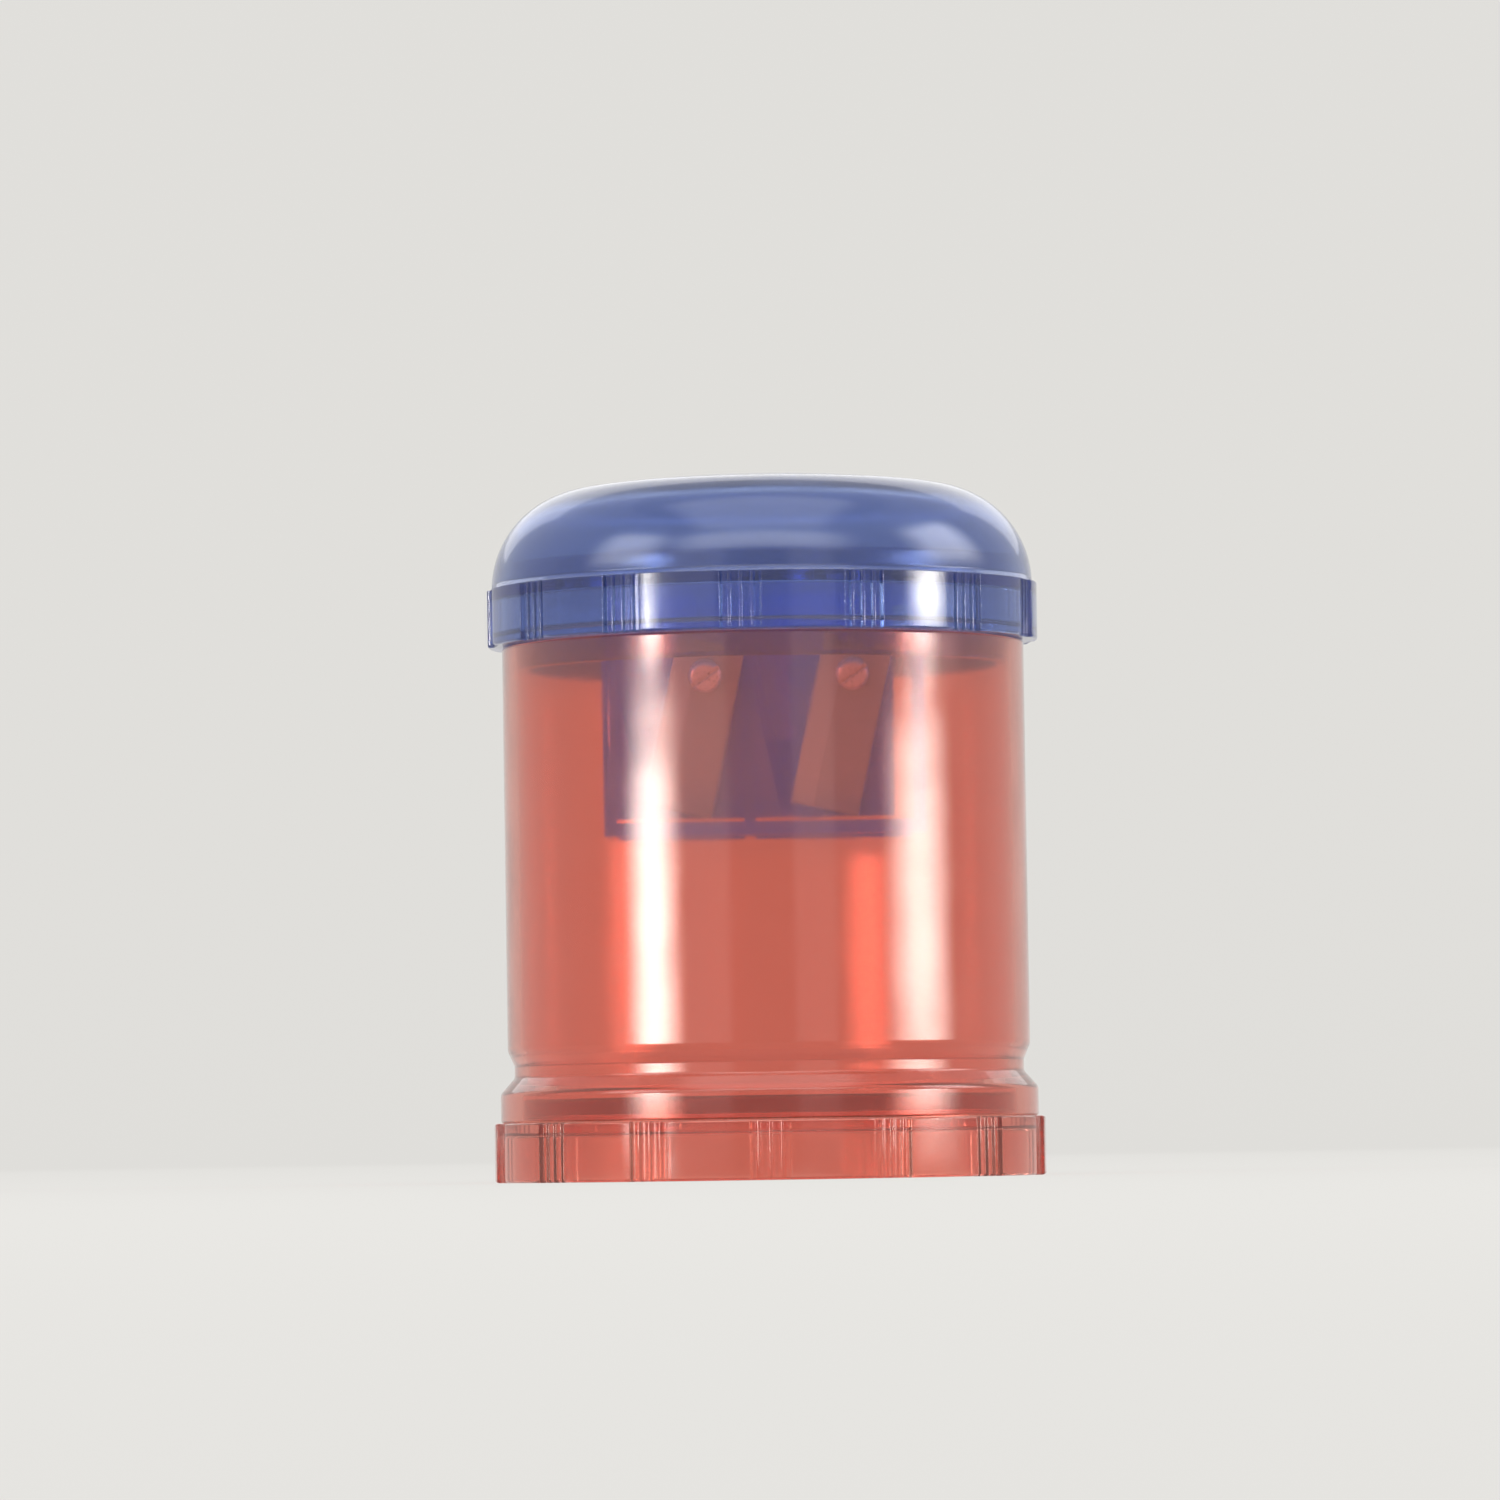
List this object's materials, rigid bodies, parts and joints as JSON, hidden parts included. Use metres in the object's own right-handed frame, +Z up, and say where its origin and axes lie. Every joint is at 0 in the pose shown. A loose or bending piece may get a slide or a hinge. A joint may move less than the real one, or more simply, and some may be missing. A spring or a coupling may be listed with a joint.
{
  "type": "pencil sharpener",
  "caption": "Round canister sharpener with a pencil hole and a crayon hole in a clear blue head, a domed lid, and a clear red shavings barrel on a grip-ringed base cap.",
  "frame": {"origin": "on the barrel's axis, in the plane that the base cap stands on", "axes": "+Z up along the barrel's axis; the blades face -Y; +X to the right as the blades are seen"},
  "size_m": [0.058, 0.058, 0.074],
  "materials": {
    "clear_blue": "polished translucent blue styrene",
    "clear_red": "polished translucent red styrene",
    "blade_steel": "ground carbon steel with a bright bevel",
    "screw_steel": "plated steel"
  },
  "bodies": {
    "base": {"base_cap": "clear_red"},
    "barrel": {"barrel": "clear_red"},
    "head": {"head_ring": "clear_blue", "sharpener_block": "clear_blue", "pencil_blade": "blade_steel", "crayon_blade": "blade_steel", "pencil_blade_screw": "screw_steel", "crayon_blade_screw": "screw_steel"},
    "lid": {"dome_lid": "clear_blue"}
  },
  "joints": [
    {"name": "barrel_lift", "type": "slide", "parent": "base", "child": "barrel", "axis": [0, 0, 1], "range_m": [0, 0.012]},
    {"name": "head_lift", "type": "slide", "parent": "barrel", "child": "head", "axis": [0, 0, 1], "range_m": [0, 0.028]},
    {"name": "lid_lift", "type": "slide", "parent": "head", "child": "lid", "axis": [0, 0, 1], "range_m": [0, 0.02]}
  ]
}
